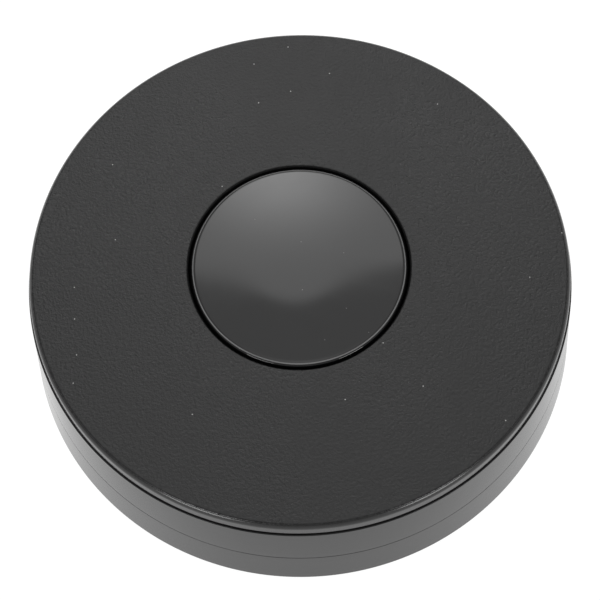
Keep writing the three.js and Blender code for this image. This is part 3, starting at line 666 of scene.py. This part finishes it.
def make_base():
    base = turned("base", base_outline(), closed=False)
    floor_top = UNDERSIDE + PLATE_THICKNESS
    posts, holes = [], []
    for name in CASE_SCREWS:
        x, y, _ = middle(name)
        posts.append(post((x, y), CASE_POST_RADIUS, floor_top - JOIN, BOSS_BOTTOM - 0.3))
        outline = [(0, 0), (3.5, 0), (3.5, UNDERSIDE), (3.2, UNDERSIDE + 0.3)]
        outline += [(3.2, 6), (1.6, 6), (1.6, 10.5), (0, 10.5)]
        holes.append(turned("tool", outline, 64, (x, y), closed=False))
    for name in MOTOR_SCREWS:
        x, y, _ = middle(name)
        posts.append(post((x, y), MOTOR_POST_RADIUS, floor_top - JOIN, MOTOR_POST_TOP))
        holes.append(post((x, y), SMALL_PILOT_RADIUS, 2.2, 6))
    for name in FEET:
        x, y, _ = middle(name)
        inner = FOOT_WELL_RADIUS - 0.3
        outline = [(0, 0), (FOOT_WELL_RADIUS, 0), (FOOT_WELL_RADIUS, UNDERSIDE)]
        outline += [(inner, UNDERSIDE + 0.3), (inner, FOOT_WELL_TOP), (0, FOOT_WELL_TOP)]
        holes.append(turned("tool", outline, 96, (x, y), closed=False))
    plate = middle("rating_plate")
    width = PLATE_HIGH.x - PLATE_LOW.x + 0.6
    depth = PLATE_HIGH.y - PLATE_LOW.y + 0.6
    outline = [(u, v + plate.y) for u, v in rounded_rectangle(width, depth, 2)]
    holes.append(prism("tool", outline, 0, UNDERSIDE + 0.7, upright))
    combine(base, posts, "UNION")
    combine(base, holes, "DIFFERENCE")
    return finish(base, "housing", "wall_plastic", "base_shell")


def make_foot(node):
    x, y, _ = middle(node)
    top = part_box(node)[1].z / MM
    edge = 0.6
    outline = [(0, 0.25), (2.6, 0.25)]
    outline += arc(2.6, 0.45, 0.2, -90, -45, 2)[1:]
    outline += [(3.1, 0.08), (3.3, 0)]
    outline += arc(FOOT_RADIUS - edge, edge, edge, -90, 0, 8)
    outline += [(FOOT_RADIUS, top - 0.2), (FOOT_RADIUS - 0.2, top), (0, top)]
    foot = turned(node.replace("foot", "foot_pad"), outline, 96, (x, y), closed=False)
    return finish(foot, "housing", "foot_rubber", node)


def cross_slot(x, y, low, high, arm, width):
    """The cross of a driver recess as one prism."""
    a, w = arm, width / 2
    points = [(a, -w), (a, w), (w, w), (w, a), (-w, a), (-w, w)]
    points += [(-a, w), (-a, -w), (-w, -w), (-w, -a), (w, -a), (w, -w)]
    return prism("tool", [(x + u, y + v) for u, v in points], low, high, upright)


def make_case_screw(node):
    x, y, _ = middle(node)
    low, high = (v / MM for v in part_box(node))
    head_top, shank, pitch = CASE_HEAD_TOP, CASE_SHANK_RADIUS, THREAD_PITCH
    outline = [(0, low.z), (1.5, low.z)]
    outline += arc(1.5, low.z + 1.2, 1.2, -90, 0, 8)[1:]
    outline += [(CASE_HEAD_RADIUS, head_top), (shank, head_top)]
    turns = int((high.z - 1 - head_top - 0.5) / pitch)
    for i in range(turns):
        z = head_top + 0.5 + i * pitch
        outline += [(shank - 0.2, z), (shank, z + pitch / 2)]
    outline += [(shank - 0.2, high.z - 1), (0.4, high.z), (0, high.z)]
    screw = turned(node.replace("screw", "screw_body"), outline, 48, (x, y), closed=False)
    combine(screw, [cross_slot(x, y, low.z - 1, low.z + 1.2, 1.4, 0.6)], "DIFFERENCE")
    soften_edges(screw, 0.06)
    return finish(screw, "housing", "dark_steel", node)


def make_rating_plate():
    centre = middle("rating_plate")
    width = PLATE_HIGH.x - PLATE_LOW.x
    depth = PLATE_HIGH.y - PLATE_LOW.y
    outline = [(u, v + centre.y) for u, v in rounded_rectangle(width, depth, 2)]
    plate = prism("blank_plate", outline, PLATE_LOW.z, PLATE_HIGH.z, upright)
    soften_edges(plate, 0.12)
    return finish(plate, "housing", "plate_metal", "rating_plate")


def make_inlet():
    """A drawn metal shell, open to the rear, with the contact tongue inside."""
    low, high = INLET_LOW, INLET_HIGH
    width, height = high.x - low.x, high.z - low.z
    at = facing_rear(INLET_HEIGHT)
    shell = prism("inlet_shell", rounded_rectangle(width, height, 1.6), low.y, high.y, at)
    cavity = prism("tool", rounded_rectangle(width - 0.6, height - 0.6, 1.3), low.y + 1, high.y + 1, at)
    combine(shell, [cavity], "DIFFERENCE")
    tongue = prism("tool", rounded_rectangle(6.7, 0.7, 0.2, 3), low.y + 0.8, low.y + 5.8, at)
    combine(shell, [tongue], "UNION")
    soften_edges(shell, 0.05)
    return finish(shell, "housing", "plated_metal", "power_inlet")


# ------------------------------------------------------------------ button

SPRINGS = [f"button_spring_{i}" for i in (1, 2, 3)]


def make_cap():
    """Gloss cap: a level face, a round edge, a skirt, a flange and three spring pegs."""
    underside = TOP - 2.2
    skirt_inner = 21.3
    corner = 0.3
    root = 0.5
    outline = [(0, underside), (skirt_inner, underside), (skirt_inner, FLANGE_BOTTOM)]
    outline += arc(FLANGE_RADIUS - corner, FLANGE_BOTTOM + corner, corner, -90, 0, 4)
    outline += arc(FLANGE_RADIUS - corner, FLANGE_TOP - corner, corner, 0, 90, 4)
    outline += arc(CAP_RADIUS + root, FLANGE_TOP + root, root, 270, 180, 6)
    outline += arc(CAP_RADIUS - CAP_ROUND, CAP_TOP - CAP_ROUND, CAP_ROUND, 0, 90, 12)
    outline += [(r, CAP_TOP) for r in (20, 16, 12, 8, 4, 0)]
    cap = turned("button", outline, closed=False)
    pegs = []
    for name in SPRINGS:
        x, y, _ = middle(name)
        pegs.append(post((x, y), 1.4, CAP_LOW.z, FLANGE_BOTTOM + 0.4))
    combine(cap, pegs, "UNION")
    return finish(cap, "button", "button_gloss", "button_cap")


def make_spring(node):
    """Round wire wound from the board to the flange, with closed end turns, at its rest length."""
    low, high = (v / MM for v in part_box(node))
    x, y, _ = middle(node)
    wire = 0.25
    coil_radius = 2.1
    turns, ends, steps = 6.0, 0.9, 150
    sides = 10
    bottom, top = low.z + wire, high.z - wire
    bm = bmesh.new()
    rows = []
    for i in range(steps + 1):
        t = i / steps
        turn = turns * t
        middle_turns = turns - 2 * ends
        lift = min(max((turn - ends) / middle_turns, 0), 1)
        close = 2.2 * wire
        z = bottom + close * min(turn / ends, 1) + close * max((turn - turns + ends) / ends, 0)
        z += (top - bottom - 2 * close) * lift
        angle = 2 * math.pi * turn
        out = Vector((math.cos(angle), math.sin(angle), 0))
        row = []
        for k in range(sides):
            a = 2 * math.pi * k / sides
            point = Vector((x, y, z)) + out * (coil_radius + wire * math.cos(a))
            point += Vector((0, 0, wire * math.sin(a)))
            row.append(bm.verts.new(point * MM))
        rows.append(row)
    for a, b in zip(rows, rows[1:]):
        for k in range(sides):
            j = (k + 1) % sides
            bm.faces.new((a[k], a[j], b[j], b[k]))
    bm.faces.new(rows[0])
    bm.faces.new(rows[-1])
    bmesh.ops.recalc_face_normals(bm, faces=bm.faces)
    mesh = bpy.data.meshes.new(node)
    bm.to_mesh(mesh)
    bm.free()
    spring = new_object(node.replace("button", "return"), mesh)
    return finish(spring, "housing", "steel", node)


# ------------------------------------------------------------------ CAD nodes that stay


def smoothing_group(degrees):
    """Geometry nodes that shade faces smooth and keep edges sharper than an angle."""
    group = bpy.data.node_groups.new("smooth_by_angle", "GeometryNodeTree")
    group.interface.new_socket("Geometry", in_out="INPUT", socket_type="NodeSocketGeometry")
    group.interface.new_socket("Geometry", in_out="OUTPUT", socket_type="NodeSocketGeometry")
    start = group.nodes.new("NodeGroupInput")
    end = group.nodes.new("NodeGroupOutput")
    faces = group.nodes.new("GeometryNodeSetShadeSmooth")
    faces.domain = "FACE"
    edges = group.nodes.new("GeometryNodeSetShadeSmooth")
    edges.domain = "EDGE"
    edges.inputs["Shade Smooth"].default_value = False
    angle = group.nodes.new("GeometryNodeInputMeshEdgeAngle")
    test = group.nodes.new("FunctionNodeCompare")
    test.operation = "GREATER_THAN"
    test.inputs[1].default_value = math.radians(degrees)
    group.links.new(start.outputs[0], faces.inputs["Geometry"])
    group.links.new(faces.outputs[0], edges.inputs["Geometry"])
    group.links.new(angle.outputs["Unsigned Angle"], test.inputs[0])
    group.links.new(test.outputs[0], edges.inputs["Selection"])
    group.links.new(edges.outputs[0], end.inputs[0])
    return group


def dress_cad_nodes():
    """Materials, small edge rounds and smooth shading for the CAD nodes that stay on show."""
    smoothing = smoothing_group(35)
    slots = {row["node"]: row["material_slot"] for row in frame["record"]["subparts"]}
    for name, node in NODES.items():
        if node.hide_render:
            continue
        node.data.materials.clear()
        node.data.materials.append(MATERIALS[slots[name]])
        low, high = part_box(name)
        thinnest = min(high - low)
        rounding = node.modifiers.new("edges", "BEVEL")
        rounding.width = min(0.08 * MM, thinnest * 0.08)
        rounding.segments = 2
        rounding.limit_method = "ANGLE"
        rounding.angle_limit = math.radians(50)
        step = node.modifiers.new("smooth", "NODES")
        step.node_group = smoothing


# ------------------------------------------------------------------ stage, lights and camera

FACE_CENTRE = Vector((0, 0, TOP)) * MM
CAMERA_TARGET = Vector((-0.17, -8.05, TOP)) * MM
CAMERA_DISTANCE = 367.7 * MM
CAMERA_ELEVATION = math.radians(65.49)
CAMERA_ROLL = math.radians(-3.02)
CAMERA_LENS = 104.2


def make_camera():
    data = bpy.data.cameras.new("camera")
    data.sensor_width = 36
    data.lens = CAMERA_LENS
    data.clip_start = 0.01
    data.clip_end = 50
    camera = bpy.data.objects.new("camera", data)
    bpy.context.scene.collection.objects.link(camera)
    away = Vector((0, -math.cos(CAMERA_ELEVATION), math.sin(CAMERA_ELEVATION)))
    place = FACE_CENTRE + away * CAMERA_DISTANCE
    back = (place - CAMERA_TARGET).normalized()
    right = Vector((0, 0, 1)).cross(back).normalized()
    up = back.cross(right)
    turn = Matrix.Rotation(CAMERA_ROLL, 3, back)
    rotation = Matrix((turn @ right, turn @ up, back)).transposed().to_4x4()
    camera.matrix_world = Matrix.Translation(place) @ rotation
    bpy.context.scene.camera = camera


FLOOR_GLOW = 0.97
FLOOR_TONE = 0.1
LOW_BACK = 0.12
LOW_FRONT = 0.9
CAMERA_SIDE_DIM = 0.8
ROOM_MIDDLE = 1.45
ROOM_SIDES = 0.6


def make_floor():
    """A white table that also glows, like a lit sweep."""
    floor = turned("floor", [(0, 0), (400, 0), (1200, 0), (6000, 0)], 96, closed=False)
    paint = Paint("floor_white", (FLOOR_TONE,) * 3, 0.9)
    paper = paint.noise(60, 3, 0.5)
    paint.set("Base Color", paint.shades(paper, 0.995, 1.005))
    paint.shader.inputs["Emission Color"].default_value = (1, 1, 1, 1)
    paint.shader.inputs["Emission Strength"].default_value = FLOOR_GLOW
    floor.data.materials.append(paint.material)


def make_world():
    """A pale room: darkest low down at the back and sides, brightest along the middle of the ceiling."""
    world = bpy.data.worlds.new("studio")
    bpy.context.scene.world = world
    world.use_nodes = True
    wires = Wiring(world.node_tree)
    background = world.node_tree.nodes["Background"]
    split = wires.node("ShaderNodeSeparateXYZ")
    wires.link(wires.coords.outputs["Generated"], split.inputs[0])
    x, y, z = (split.outputs[axis] for axis in "XYZ")
    low = wires.span(y, -0.8, 0, LOW_FRONT, LOW_BACK, soft=True)
    high = wires.maths("MULTIPLY", wires.bell(x, 0.0, 0.33), ROOM_MIDDLE - ROOM_SIDES)
    high = wires.maths("ADD", high, ROOM_SIDES)
    behind_camera = wires.maths("MULTIPLY", wires.span(y, -0.75, -0.3, 1, 0, soft=True), CAMERA_SIDE_DIM)
    high = wires.maths("MULTIPLY", high, wires.maths("SUBTRACT", 1, behind_camera))
    raised = wires.span(z, 0.12, 0.45, 0, 1, soft=True)
    total = wires.maths("ADD", low, wires.maths("MULTIPLY", raised, wires.maths("SUBTRACT", high, low)))
    background.inputs["Color"].default_value = (1, 1, 1, 1)
    wires.link(total, background.inputs["Strength"])


PANEL_HEIGHT = 1000
PANEL_DIM = 1.06
PANEL_LIT = 2.3
PANEL_HOT = 3.2
PANEL_FRONT = 0.5
PANEL_BACK = 1.2


# Places on the panel, in metres: where it starts to be lit, and the middle of its hot patch.
PANEL_EDGE = (0.443, 0.457)
PANEL_BULGE = 0.028
HOT_X, HOT_Y = -0.013, 0.544


def make_panel():
    """Soft overhead light behind the object: dim in front, lit past a curved edge, hottest at the back."""
    points = [(-220, 120), (220, 120), (300, 1100), (-300, 1100)]
    panel = prism("panel", points, TOP + PANEL_HEIGHT, TOP + PANEL_HEIGHT + 1, upright)
    material = bpy.data.materials.new("panel_light")
    material.use_nodes = True
    material.node_tree.nodes.clear()
    wires = Wiring(material.node_tree)
    split = wires.node("ShaderNodeSeparateXYZ")
    wires.link(wires.coords.outputs["Object"], split.inputs[0])
    x, y = split.outputs["X"], split.outputs["Y"]
    bulge = wires.maths("MULTIPLY", wires.bell(x, -0.003, 0.046), PANEL_BULGE)
    past_edge = wires.maths("ADD", y, bulge)
    lit = wires.span(past_edge, *PANEL_EDGE, PANEL_DIM, PANEL_LIT, soft=True)
    rise = wires.maths("MINIMUM", y, HOT_Y)
    hot_across, hot_along = wires.bell(x, HOT_X, 0.0655), wires.bell(rise, HOT_Y, 0.0487)
    hot = wires.maths("MULTIPLY", hot_across, hot_along)
    hot = wires.maths("MULTIPLY", hot, wires.span(y, 0.55, 1.0, 1, 0, soft=True))
    glow = wires.maths("ADD", lit, wires.maths("MULTIPLY", hot, PANEL_HOT))
    near = wires.span(y, 0.26, 0.36, PANEL_FRONT, 0, soft=True)
    front = wires.maths("MULTIPLY", wires.bell(x, 0.0, 0.1), near)
    back = wires.span(y, 0.56, 0.66, 0, PANEL_BACK, soft=True)
    glow = wires.maths("ADD", glow, wires.maths("ADD", front, back))
    emission = wires.node("ShaderNodeEmission")
    output = wires.node("ShaderNodeOutputMaterial")
    wires.link(glow, emission.inputs["Strength"])
    wires.link(emission.outputs[0], output.inputs["Surface"])
    panel.data.materials.append(material)


def make_lamp(name, azimuth, elevation, distance, size, energy):
    """A rectangular soft lamp that faces the object. Azimuth 0 is in front, positive to the right."""
    data = bpy.data.lights.new(name, "AREA")
    data.shape = "RECTANGLE"
    data.size, data.size_y = size
    data.energy = energy
    lamp = bpy.data.objects.new(name, data)
    bpy.context.scene.collection.objects.link(lamp)
    a, e = math.radians(azimuth), math.radians(elevation)
    direction = Vector((math.sin(a) * math.cos(e), -math.cos(a) * math.cos(e), math.sin(e)))
    lamp.location = direction * distance
    lamp.rotation_euler = direction.to_track_quat("Z", "Y").to_euler()


def make_stage():
    make_floor()
    make_world()
    make_panel()
    make_lamp("front_left", -33, 6, 1.0, (0.36, 0.2), 2.2)
    make_lamp("front_right", 36, 6, 1.0, (0.34, 0.2), 2.2)
    bpy.context.scene.view_settings.view_transform = "Standard"
    bpy.context.scene.view_settings.look = "None"


# ------------------------------------------------------------------ the whole object

make_camera()
make_cover()
make_seal()
make_body()
make_base()
make_inlet()
make_rating_plate()
for foot_node in FEET:
    make_foot(foot_node)
for screw_node in CASE_SCREWS:
    make_case_screw(screw_node)
make_cap()
for spring_node in SPRINGS:
    make_spring(spring_node)
dress_cad_nodes()
make_stage()
